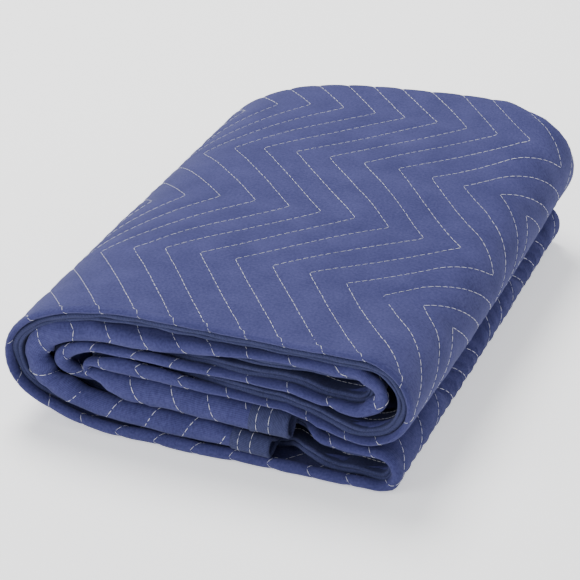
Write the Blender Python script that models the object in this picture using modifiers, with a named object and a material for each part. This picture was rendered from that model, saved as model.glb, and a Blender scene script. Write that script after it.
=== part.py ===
"""Quilted moving blanket, folded to a strip and the strip folded into a flat bundle.

The blanket is one cloth. It is folded in four across its width, which makes a strip of
four plies, and the strip is then folded back and forth along its length. The part is
made the same way: a flat grid of the whole cloth is quilted with zigzag lines, and every
point of it is carried along the strip's fold path (the path lies in the XZ plane, X to
the right along the front) and through the four plies (Y runs from front to back).

Frame: metres, +Z up, origin at the middle of the bundle on the surface it lies on.
"""
import math

import bmesh
import bpy
import numpy as np

NAME = "moving_blanket"

# Cloth and tape
PLY_PITCH = 0.0033
CLOTH_THICK = 0.0023
QUILT_THICK = 0.0030
VALLEY_THICK = 0.0013
BOUND_THICK = 0.0010
TAPE_THICK = 0.0006
TAPE_WIDE = 0.028
TAPE_OFFSET = 0.0011
TAPE_GAP = 0.0006
TAPE_NOSE = 0.0012
TAPE_SECTION = (
    # reach in from the cloth's edge, lift from the cloth's middle
    (TAPE_WIDE, TAPE_OFFSET),
    (-TAPE_NOSE / 4, TAPE_OFFSET),
    (-TAPE_NOSE, TAPE_OFFSET / 2.4),
    (-TAPE_NOSE, -TAPE_OFFSET / 2.4),
    (-TAPE_NOSE / 4, -TAPE_OFFSET),
    (TAPE_WIDE, -TAPE_OFFSET),
)
THIN_MARGIN = 0.001
THICK_MARGIN = 0.008
STRIP_HALF = 1.5 * PLY_PITCH + CLOTH_THICK / 2

# Quilting: zigzag lines, a line every STITCH_PITCH along the strip
STITCH_PITCH = 0.029
STITCH_PHASE = -0.30
ZIGZAG_HALF = 0.0925
ZIGZAG_REACH = 0.0862
FIRST_ROW = 0.0937
ZIGZAG_ROWS = 4

# Bundle: front line, depth and the rounding of its back edge
FRONT_Y = -0.2155
FRONT_SKEW = 0.06
DEPTH = 0.4275
BACK_SHIFT_START = 0.50
BACK_SHIFT_REACH = 0.44
BACK_EDGE = (
    # across X, place of the back edge in Y
    (-0.160, 0.150),
    (-0.130, 0.173),
    (-0.100, 0.186),
    (-0.060, 0.195),
    (-0.020, 0.206),
    (0.040, 0.2155),
    (0.085, 0.2150),
    (0.111, 0.202),
    (0.133, 0.188),
    (0.156, 0.172),
)

# The right side draws in toward the back
DRAW_IN = 0.0070
DRAW_START_X = 0.030
DRAW_SPAN_X = 0.085

# Fold path: heights of the strip's middle, at the left, at the tabs and at the right
LEFT_X = -0.040
TAB_X = 0.050
LEVELS = {
    # run: (height at the left, height at the tabs, height at the right)
    "top": (0.1058, 0.1058, 0.1058),
    "third": (0.0901, 0.0921, 0.0921),
    "fifth": (0.0758, 0.0762, 0.0673),
    "seventh": (0.0626, 0.0597, 0.0447),
    "inner_low": (0.0494, 0.0459, 0.0459),
    "eighth": (0.0361, 0.0327, 0.0299),
    "low": (0.0219, 0.0192, 0.0192),
    "bottom": (STRIP_HALF, STRIP_HALF, STRIP_HALF),
}
FALL_START_X = 0.055
LOW_END_X = 0.0473
INNER_LOW_END_X = 0.0615
RIGHT_INNER_X = 0.105
RIGHT_CORNER_X = 0.128
RIGHT_CORNER_REACH = 0.0130
RIGHT_OUTER_X = 0.118
LEFT_TURNS = {
    # turn: (reach to the left of its middle, fullness of its lower half and of its upper
    # half, X of its middle)
    "outer_turn": (0.1130, 2.35, 2.2, LEFT_X),
    "c_turn": (0.0695, 2.15, 2.1, -0.065),
    "d_turn": (0.0335, 2.0, 1.9, -0.079),
    "e_turn": (0.0067, 2.0, 2.0, -0.0800),
}

# Front of the strip along its path
ROLL_DEPTH = 0.85
FLARE_DEPTH = 1.5
FLARE_SHARE = 0.25
FRONT_SHAPE = (
    # run, share of the run, half height of the front roll, its offset, its setback,
    # setback of the bound edges
    ("low", 0.00, 0.0070, 0.0018, 0.000, 0.026),
    ("low", 0.35, 0.0080, 0.0008, 0.000, 0.026),
    ("low", 0.90, 0.0084, 0.0002, 0.000, 0.026),
    ("c_turn", 0.05, 0.0084, -0.0006, 0.001, 0.024),
    ("c_turn", 0.45, 0.0068, -0.0016, 0.001, 0.022),
    ("c_turn", 0.70, 0.0062, -0.0010, 0.000, 0.020),
    ("third", 0.08, 0.0057, -0.0003, 0.000, 0.018),
    ("third", 0.35, 0.0035, 0.0015, 0.000, 0.012),
    ("third", 0.60, 0.0019, 0.0031, 0.000, 0.006),
    ("inner_turn", 0.50, 0.0019, 0.0031, 0.006, 0.013),
    ("fifth", 0.40, 0.0020, 0.0030, 0.000, 0.006),
    ("fifth", 0.75, 0.0040, 0.0006, 0.000, 0.014),
    ("fifth", 1.00, 0.0040, 0.0004, 0.001, 0.014),
    ("d_turn", 0.50, 0.0019, 0.0031, 0.006, 0.011),
    ("eighth", 0.08, 0.0019, 0.0031, 0.027, 0.031),
    ("eighth", 0.72, 0.0019, 0.0031, 0.027, 0.031),
    ("eighth", 0.84, 0.0027, 0.0028, 0.002, 0.010),
    ("corner", 0.50, 0.0029, 0.0023, 0.001, 0.012),
    ("bottom", 0.10, 0.0031, 0.0016, 0.001, 0.014),
    ("bottom", 0.38, 0.0032, 0.0017, 0.001, 0.022),
    ("bottom", 1.00, 0.0040, 0.0009, 0.001, 0.022),
    ("outer_turn", 0.50, 0.0021, 0.0029, 0.000, 0.006),
    ("top", 0.00, 0.0019, 0.0031, 0.000, 0.006),
    ("top", 1.00, 0.0019, 0.0031, 0.000, 0.006),
    ("outer_fold", 0.50, 0.0021, 0.0029, 0.000, 0.006),
    ("seventh", 0.45, 0.0019, 0.0031, 0.000, 0.006),
    ("seventh", 0.75, 0.0042, 0.0012, 0.000, 0.013),
    ("seventh", 0.92, 0.0056, 0.0003, 0.000, 0.018),
    ("e_turn", 0.00, 0.0019, 0.0031, 0.002, 0.020),
    ("e_turn", 1.00, 0.0022, 0.0027, 0.002, 0.025),
    ("inner_low", 0.14, 0.0100, -0.0068, 0.000, 0.029),
    ("inner_low", 1.00, 0.0100, -0.0068, 0.000, 0.029),
)

# Mesh steps
PATH_SAMPLES = 240
TURN_STEP = math.radians(27)
RUN_STEP = 0.075
CHORD_SAG = 0.0005
LEAST_STEP = 0.01
CUT_MERGE = 0.0002
QUILT_LEFT_SHARE = 0.55
QUILT_RIGHT_SHARE = 0.60
QUILT_FRONT_SHARE = 0.8
SHARP_ANGLE = math.radians(40)

COLOURS = {
    # finish: (base colour, roughness)
    "cloth": ((0.075, 0.095, 0.235, 1.0), 0.92),
    "tape": ((0.075, 0.125, 0.260, 1.0), 0.88),
}


def smooth(value):
    """Ease from 0 to 1."""
    value = np.clip(value, 0.0, 1.0)
    return value * value * (3.0 - 2.0 * value)


def level(run, across):
    """Height of a run's middle at a place in X."""
    left, tab, right = LEVELS[run]
    right_x = RIGHT_INNER_X if run == "fifth" else RIGHT_OUTER_X
    slow = left + (tab - left) * np.clip((across - LEFT_X) / (TAB_X - LEFT_X), 0.0, 1.0)
    fall = smooth((across - FALL_START_X) / (right_x - FALL_START_X))
    return slow + (right - tab) * fall


def run_points(run, start, end):
    """Points of a nearly level run of the strip between two places in X."""
    across = np.linspace(start, end, PATH_SAMPLES)
    return np.column_stack([across, level(run, across)])


def left_turn(turn, first, second):
    """Points of a turn at the left end, from one height to another."""
    reach, low_fullness, high_fullness, middle_x = LEFT_TURNS[turn]
    middle = (first + second) / 2
    half = (first - second) / 2
    angle = np.linspace(0.0, math.pi, PATH_SAMPLES)
    cosine = np.cos(angle)
    power = 2 / np.where(half * cosine < 0.0, low_fullness, high_fullness)
    side = np.sign(cosine) * np.abs(cosine) ** power
    out = np.abs(np.sin(angle)) ** power
    return np.column_stack([middle_x - reach * out, middle + half * side])


def right_turn(middle_x, reach, first, second):
    """Points of a turn at the right end, from one height to another."""
    angle = np.linspace(0.0, math.pi, PATH_SAMPLES)
    middle = (first + second) / 2
    half = (first - second) / 2
    return np.column_stack([middle_x + reach * np.sin(angle), middle + half * np.cos(angle)])


def fold_path():
    """Lay out the strip's path, run by run, with the length at which each run starts."""
    at_left = {run: level(run, LEFT_X) for run in LEVELS}
    inner_half = (level("third", RIGHT_INNER_X) - level("fifth", RIGHT_INNER_X)) / 2
    outer_half = (level("top", RIGHT_OUTER_X) - level("seventh", RIGHT_OUTER_X)) / 2
    c_middle, d_middle, e_middle = [LEFT_TURNS[turn][-1] for turn in ("c_turn", "d_turn",
                                                                      "e_turn")]
    runs = (
        ("low", run_points("low", LOW_END_X, c_middle)),
        ("c_turn", left_turn("c_turn", at_left["low"], at_left["third"])),
        ("third", run_points("third", c_middle, RIGHT_INNER_X)),
        ("inner_turn", right_turn(RIGHT_INNER_X, inner_half,
                                  LEVELS["third"][2], LEVELS["fifth"][2])),
        ("fifth", run_points("fifth", RIGHT_INNER_X, d_middle)),
        ("d_turn", left_turn("d_turn", at_left["fifth"], at_left["eighth"])),
        ("eighth", run_points("eighth", d_middle, RIGHT_CORNER_X)),
        ("corner", right_turn(RIGHT_CORNER_X, RIGHT_CORNER_REACH,
                              LEVELS["eighth"][2], LEVELS["bottom"][2])),
        ("bottom", run_points("bottom", RIGHT_CORNER_X, LEFT_X)),
        ("outer_turn", left_turn("outer_turn", at_left["bottom"], at_left["top"])),
        ("top", run_points("top", LEFT_X, RIGHT_OUTER_X)),
        ("outer_fold", right_turn(RIGHT_OUTER_X, outer_half,
                                  LEVELS["top"][2], LEVELS["seventh"][2])),
        ("seventh", run_points("seventh", RIGHT_OUTER_X, e_middle)),
        ("e_turn", left_turn("e_turn", at_left["seventh"], at_left["inner_low"])),
        ("inner_low", run_points("inner_low", e_middle, INNER_LOW_END_X)),
    )
    points = []
    marks = {}
    length = 0.0
    for name, run in runs:
        steps = np.linalg.norm(np.diff(run, axis=0), axis=1)
        marks[name] = (length, length + steps.sum())
        length += steps.sum()
        points.append(run if not points else run[1:])
    return np.vstack(points), marks


PATH, MARKS = fold_path()
PATH_U = np.concatenate([[0.0], np.cumsum(np.linalg.norm(np.diff(PATH, axis=0), axis=1))])
PATH_DIR = np.gradient(PATH, PATH_U, axis=0)
HEADING = np.unwrap(np.arctan2(PATH_DIR[:, 1], PATH_DIR[:, 0]))
LENGTH = PATH_U[-1]


def share_u(run, share):
    """Length along the path at a share of a run."""
    start, end = MARKS[run]
    return start + (end - start) * share


SHAPE_U = np.array([share_u(row[0], row[1]) for row in FRONT_SHAPE])
SHAPE = np.array([row[2:] for row in FRONT_SHAPE])


def front_shape(u):
    """Half height, offset and setback of the front roll, and the setback of the edges."""
    return [float(np.interp(u, SHAPE_U, SHAPE[:, column])) for column in range(4)]


# Across the cloth: lengths of the plies and folds, from one bound edge to the other
INNER_FOLD = math.pi * PLY_PITCH / 2
OUTER_FOLD = math.pi * PLY_PITCH * 1.5
FRONT_FOLD = 0.030
ACROSS = (
    ("third_ply", DEPTH),
    ("inner_fold", INNER_FOLD),
    ("second_ply", DEPTH),
    ("front_fold", FRONT_FOLD),
    ("first_ply", DEPTH),
    ("outer_fold", OUTER_FOLD),
    ("fourth_ply", DEPTH),
)
ACROSS_START = {}
WIDTH = 0.0
for part_name, part_length in ACROSS:
    ACROSS_START[part_name] = WIDTH
    WIDTH += part_length
OUTER_BACK = DEPTH - PLY_PITCH * 1.5
INNER_BACK_PLIES = 3.2
INNER_BACK = DEPTH - PLY_PITCH * INNER_BACK_PLIES
INNER_LOOP = 0.35


def profile(u, v):
    """Depth behind the front line and offset from the strip's middle, at a cloth point."""
    half, offset, setback, edge = front_shape(u)
    roll = ROLL_DEPTH * half
    flare = roll + FLARE_DEPTH * half
    for name, length in ACROSS:
        share = (v - ACROSS_START[name]) / length
        if share <= 1.0 or name == "fourth_ply":
            break
    share = min(max(share, 0.0), 1.0)
    if name == "third_ply":
        return edge + (INNER_BACK - edge) * share, -PLY_PITCH / 2
    if name == "inner_fold":
        angle = math.pi * (share - 0.5)
        fuller = 1.0 + INNER_LOOP * math.cos(angle)
        return (INNER_BACK + PLY_PITCH / 2 * math.cos(angle) * fuller,
                PLY_PITCH / 2 * math.sin(angle) * fuller)
    if name == "second_ply":
        front = setback + flare
        return INNER_BACK + (front - INNER_BACK) * share, PLY_PITCH / 2
    if name == "front_fold":
        return front_roll(share, half, offset, setback, roll, flare)
    if name == "first_ply":
        front = setback + flare
        return front + (OUTER_BACK - front) * share, 1.5 * PLY_PITCH
    if name == "outer_fold":
        angle = math.pi * (0.5 - share)
        return (OUTER_BACK + 1.5 * PLY_PITCH * math.cos(angle),
                1.5 * PLY_PITCH * math.sin(angle))
    return OUTER_BACK + (edge - OUTER_BACK) * share, -1.5 * PLY_PITCH


def front_roll(share, half, offset, setback, roll, flare):
    """The rounded fold that joins the second ply to the first at the front."""
    flat = min(share, 1.0 - share) / FLARE_SHARE
    if flat < 1.0:
        low_side = share < 0.5
        start = PLY_PITCH * (0.5 if low_side else 1.5)
        end = offset - half if low_side else offset + half
        return setback + flare + (roll - flare) * flat, start + (end - start) * smooth(flat)
    angle = math.pi * (share - 0.5) / (1.0 - 2 * FLARE_SHARE)
    return setback + roll - roll * math.cos(angle), offset + half * math.sin(angle)


def place(u, v):
    """Carry a point of the flat cloth to its place in the folded bundle."""
    depth, offset = profile(u, v)
    return place_at(u, depth, offset)


def place_at(u, depth, offset):
    """Point at a length along the path, a depth behind the front and an offset."""
    inside = min(max(u, 0.0), LENGTH)
    middle_x = float(np.interp(inside, PATH_U, PATH[:, 0]))
    middle_z = float(np.interp(inside, PATH_U, PATH[:, 1]))
    heading = float(np.interp(inside, PATH_U, HEADING))
    over = u - inside
    across = middle_x + over * math.cos(heading) - math.sin(heading) * offset
    height = middle_z + over * math.sin(heading) + math.cos(heading) * offset
    front = FRONT_Y + FRONT_SKEW * middle_x
    edge_x, edge_y = zip(*BACK_EDGE)
    shift = front + DEPTH - float(np.interp(middle_x, edge_x, edge_y))
    far = float(smooth((depth / DEPTH - BACK_SHIFT_START) / BACK_SHIFT_REACH))
    right = float(smooth((middle_x - DRAW_START_X) / DRAW_SPAN_X))
    return across - DRAW_IN * right * depth / DEPTH, front + depth - shift * far, height


def zigzag(v):
    """How far a stitch line has moved along the strip, at a place across the cloth."""
    rows = (v - ACROSS_START["first_ply"] - FIRST_ROW) / ZIGZAG_HALF
    fold = rows % 2.0
    return ZIGZAG_REACH * (fold if fold <= 1.0 else 2.0 - fold)


QUILT_ORIGIN = MARKS["top"][0] + STITCH_PITCH * STITCH_PHASE
QUILT_START = share_u("outer_turn", QUILT_LEFT_SHARE)
QUILT_END = share_u("outer_fold", QUILT_RIGHT_SHARE)


def path_stations():
    """Lengths along the path at which the grid has its columns."""
    stations = [0.0, TAPE_WIDE + THIN_MARGIN, TAPE_WIDE + THICK_MARGIN]
    ends = [LENGTH - TAPE_WIDE - THICK_MARGIN, LENGTH - TAPE_WIDE - THIN_MARGIN, LENGTH]
    turned = float(np.interp(stations[-1], PATH_U, HEADING))
    for u, heading in zip(PATH_U, HEADING):
        if u <= stations[-1] or u >= ends[0]:
            continue
        turn = abs(heading - turned)
        step = u - stations[-1]
        sag = turn * step / 8
        if turn >= TURN_STEP or step >= RUN_STEP or sag >= CHORD_SAG:
            stations.append(float(u))
            turned = heading
    if ends[0] - stations[-1] < LEAST_STEP:
        stations.pop()
    return stations + ends


def across_rows():
    """Places across the cloth at which the grid has its rows."""
    start = ACROSS_START
    rows = [0.0, TAPE_WIDE + THIN_MARGIN, TAPE_WIDE + THICK_MARGIN]
    rows += [start["inner_fold"] + INNER_FOLD * share for share in (0.0, 0.33, 0.67, 1.0)]
    rows += [start["front_fold"] + FRONT_FOLD * share
             for share in (0.0, 0.25, 0.375, 0.5, 0.625, 0.75, 1.0)]
    rows += [start["first_ply"] + FIRST_ROW + ZIGZAG_HALF * count for count in range(ZIGZAG_ROWS)]
    rows += [start["outer_fold"] + OUTER_FOLD * share for share in (0.0, 0.25, 0.5, 0.75, 1.0)]
    rows += [WIDTH - TAPE_WIDE - THICK_MARGIN, WIDTH - TAPE_WIDE - THIN_MARGIN, WIDTH]
    return rows


def flat_grid(columns, rows):
    """A flat grid of the cloth with its columns and rows at the given places."""
    grid = bmesh.new()
    bmesh.ops.create_grid(grid, x_segments=len(columns) - 1, y_segments=len(rows) - 1,
                          size=0.5)
    for vertex in grid.verts:
        column = round((vertex.co.x + 0.5) * (len(columns) - 1))
        row = round((vertex.co.y + 0.5) * (len(rows) - 1))
        vertex.co = (columns[column], rows[row], 0.0)
    return grid


def quilt_faces(grid, low, high):
    """Faces of the outer ply that show, between two places across the cloth."""
    chosen = []
    for face in grid.faces:
        middle = face.calc_center_median()
        if QUILT_START < middle.x < QUILT_END and low < middle.y < high:
            chosen.append(face)
    return chosen


def cut_line(grid, first, second):
    """Cut the showing faces of the grid along one straight piece of a zigzag."""
    low, high = sorted((first[1], second[1]))
    faces = quilt_faces(grid, low, high)
    along = (second[0] - first[0], second[1] - first[1], 0.0)
    geometry = list({edge for face in faces for edge in face.edges}) + faces
    geometry += list({vertex for face in faces for vertex in face.verts})
    bmesh.ops.bisect_plane(grid, geom=geometry, dist=CUT_MERGE,
                           plane_co=(first[0], first[1], 0.0),
                           plane_no=(along[1], -along[0], 0.0))


def quilt(grid):
    """Cut the stitch lines, and a ridge half way between them, into the outer ply."""
    first_ply = ACROSS_START["first_ply"]
    corners = [first_ply + FIRST_ROW + ZIGZAG_HALF * count for count in range(ZIGZAG_ROWS)]
    places = [first_ply, *corners, ACROSS_START["outer_fold"]]
    start = math.floor((QUILT_START - ZIGZAG_REACH - QUILT_ORIGIN) / STITCH_PITCH) * 2
    end = math.ceil((QUILT_END - QUILT_ORIGIN) / STITCH_PITCH) * 2
    for count in range(start, end + 1):
        line = QUILT_ORIGIN + count * STITCH_PITCH / 2
        for low, high in zip(places, places[1:]):
            cut_line(grid, (line + zigzag(low), low), (line + zigzag(high), high))


def thickness_share(u, v):
    """Thickness of the cloth at a flat point, as a share of the full quilted puff."""
    nearest_edge = min(v, WIDTH - v, u, LENGTH - u)
    if nearest_edge < TAPE_WIDE + (THIN_MARGIN + THICK_MARGIN) / 2:
        return BOUND_THICK / QUILT_THICK
    low = ACROSS_START["front_fold"] + FRONT_FOLD * QUILT_FRONT_SHARE
    high = ACROSS_START["outer_fold"]
    if not (QUILT_START < u < QUILT_END and low < v < high):
        return CLOTH_THICK / QUILT_THICK
    lines = (u - QUILT_ORIGIN - zigzag(v)) / STITCH_PITCH
    away = abs(lines - round(lines)) * 2
    puff = VALLEY_THICK + (QUILT_THICK - VALLEY_THICK) * math.sqrt(away)
    return puff / QUILT_THICK


def new_object(name, grid, finish, collection):
    """Make an object from a bmesh, with its finish, in the blanket's collection."""
    mesh = bpy.data.meshes.new(name)
    grid.to_mesh(mesh)
    grid.free()
    mesh.shade_smooth()
    mesh.set_sharp_from_angle(angle=SHARP_ANGLE)
    mesh.materials.append(finish)
    thing = bpy.data.objects.new(name, mesh)
    collection.objects.link(thing)
    return thing


def make_solid(thing, thickness, group=None):
    """Give a sheet its thickness, half to each side."""
    solidify = thing.modifiers.new("thickness", "SOLIDIFY")
    solidify.thickness = thickness
    solidify.offset = 0.0
    solidify.use_even_offset = True
    solidify.use_quality_normals = True
    if group:
        solidify.vertex_group = group


def make_panel(collection, finish):
    """The quilted cloth: one sheet, folded in four and then back and forth."""
    grid = flat_grid(path_stations(), across_rows())
    quilt(grid)
    bmesh.ops.triangulate(grid, faces=grid.faces[:], quad_method="BEAUTY",
                          ngon_method="BEAUTY")
    shares = []
    grid.verts.ensure_lookup_table()
    for vertex in grid.verts:
        u, v = vertex.co.x, vertex.co.y
        shares.append(thickness_share(u, v))
        vertex.co = place(u, v)
    panel = new_object("quilted_panel", grid, finish, collection)
    group = panel.vertex_groups.new(name="puff")
    for index, share in enumerate(shares):
        group.add([index], share, "REPLACE")
    make_solid(panel, QUILT_THICK, "puff")
    return panel


def make_side_binding(name, edge_v, offset, collection, finish):
    """Tape folded over a long edge of the cloth, along the whole path."""
    grid = flat_grid(path_stations(), list(range(len(TAPE_SECTION))))
    for vertex in grid.verts:
        u = vertex.co.x
        reach, lift = TAPE_SECTION[round(vertex.co.y)]
        v = edge_v + (reach if edge_v == 0.0 else -reach)
        depth = profile(u, v)[0] if reach > 0.0 else front_shape(u)[3] + reach
        vertex.co = place_at(u, depth, offset + lift)
    tape = new_object(name, grid, finish, collection)
    make_solid(tape, TAPE_THICK)
    return tape


def off_cloth(u, rows, index):
    """Step off the cloth in depth and offset, at a row, that keeps an even distance."""
    here = profile(u, rows[index])
    normals = []
    for other in (index - 1, index + 1):
        if not 0 <= other < len(rows):
            continue
        there = profile(u, rows[other])
        depth, offset = there[0] - here[0], there[1] - here[1]
        size = math.hypot(depth, offset) * (other - index)
        normals.append((-offset / size, depth / size))
    first, last = normals[0], normals[-1]
    spread = 1.0 + first[0] * last[0] + first[1] * last[1]
    return (first[0] + last[0]) / spread, (first[1] + last[1]) / spread


def make_end_binding(name, end_u, inward, collection, finish):
    """Tape folded over a short end of the cloth, through all four plies."""
    margin = TAPE_WIDE + 2 * TAPE_GAP
    inner_rows = [v for v in across_rows() if margin < v < WIDTH - margin]
    rows = [margin, *inner_rows[1:-1], WIDTH - margin]
    grid = flat_grid(list(range(len(TAPE_SECTION))), rows)
    for vertex in grid.verts:
        reach, lift = TAPE_SECTION[round(vertex.co.x)]
        row = min(range(len(rows)), key=lambda index: abs(rows[index] - vertex.co.y))
        u = end_u + inward * reach
        depth, offset = profile(u, rows[row])
        away_depth, away_offset = off_cloth(u, rows, row)
        vertex.co = place_at(u, depth + away_depth * lift, offset + away_offset * lift)
    if inward > 0:
        bmesh.ops.reverse_faces(grid, faces=grid.faces[:])
    tape = new_object(name, grid, finish, collection)
    make_solid(tape, TAPE_THICK)
    return tape


def make_finish(name):
    """A plain cloth finish."""
    colour, roughness = COLOURS[name]
    finish = bpy.data.materials.new(name)
    finish.use_nodes = True
    shader = finish.node_tree.nodes["Principled BSDF"]
    shader.inputs["Base Color"].default_value = colour
    shader.inputs["Roughness"].default_value = roughness
    shader.inputs["Metallic"].default_value = 0.0
    return finish


def main():
    """Build the blanket."""
    for thing in list(bpy.data.objects):
        bpy.data.objects.remove(thing, do_unlink=True)
    collection = bpy.data.collections.new(NAME)
    bpy.context.scene.collection.children.link(collection)
    cloth = make_finish("cloth")
    tape = make_finish("tape")
    make_panel(collection, cloth)
    make_side_binding("side_binding_inner", 0.0, -PLY_PITCH / 2, collection, tape)
    make_side_binding("side_binding_outer", WIDTH, -PLY_PITCH * 1.5, collection, tape)
    make_end_binding("end_binding_low", 0.0, 1, collection, tape)
    make_end_binding("end_binding_high", LENGTH, -1, collection, tape)


main()
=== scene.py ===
"""Dressed model of a quilted moving blanket, folded into a flat bundle.

The blanket is one sheet of cloth. Every piece here is made flat, in the cloth's own
measures (u along the strip, v across the cloth, both in metres), and is then carried to
its place by one map: the strip's fold path in X and Z, and its four plies in depth. The
quilting, the tapes and every stitch are carried by the same map, so they stay on the
cloth from any side.
"""
import logging
import math
from dataclasses import dataclass, field
from enum import Enum

import bmesh
import bpy
import numpy as np
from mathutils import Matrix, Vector

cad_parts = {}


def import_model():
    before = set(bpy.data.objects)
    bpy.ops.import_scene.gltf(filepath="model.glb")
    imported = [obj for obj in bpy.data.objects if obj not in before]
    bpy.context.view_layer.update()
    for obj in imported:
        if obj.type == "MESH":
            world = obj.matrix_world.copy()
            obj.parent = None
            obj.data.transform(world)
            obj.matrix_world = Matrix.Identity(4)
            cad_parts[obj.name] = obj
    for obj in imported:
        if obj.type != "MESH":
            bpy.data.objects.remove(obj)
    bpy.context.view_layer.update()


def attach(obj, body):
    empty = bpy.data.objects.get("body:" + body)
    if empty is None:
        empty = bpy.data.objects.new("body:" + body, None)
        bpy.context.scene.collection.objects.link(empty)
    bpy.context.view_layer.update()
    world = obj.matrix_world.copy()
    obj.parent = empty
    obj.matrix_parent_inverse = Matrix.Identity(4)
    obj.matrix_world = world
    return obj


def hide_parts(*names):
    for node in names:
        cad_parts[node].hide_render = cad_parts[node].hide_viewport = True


LOG = logging.getLogger("moving_blanket")
SEED = 7
SHARP_ANGLE = math.radians(60)


def smooth(value: np.ndarray) -> np.ndarray:
    """Ease from 0 to 1."""
    value = np.clip(value, 0.0, 1.0)
    return value * value * (3.0 - 2.0 * value)


@dataclass(frozen=True)
class ClothSizes:
    """Sizes of the cloth, its quilting and its tape, in metres."""

    ply_pitch: float = 0.0033
    thick: float = 0.0023
    puff_thick: float = 0.0030
    inner_puff_thick: float = 0.0025
    valley_thick: float = 0.0014
    rim_thick: float = 0.0022
    bound_thick: float = 0.0010
    bound_gap: float = 0.0005
    bound_fade: float = 0.006
    puff_power: float = 2.4
    tape_thick: float = 0.0006
    tape_wide: float = 0.028
    tape_offset: float = 0.0011
    inner_bulb: float = 0.0021
    outer_bulb: float = 0.0014
    tape_gap: float = 0.0006
    depth: float = 0.4275
    front_fold: float = 0.030
    stitch_pitch: float = 0.029
    stitch_phase: float = -0.30
    zigzag_half: float = 0.0925
    zigzag_reach: float = 0.0862
    first_row: float = 0.0937

    @property
    def strip_half(self) -> float:
        """Half the height of the strip's four plies."""
        return 1.5 * self.ply_pitch + self.thick / 2


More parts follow.
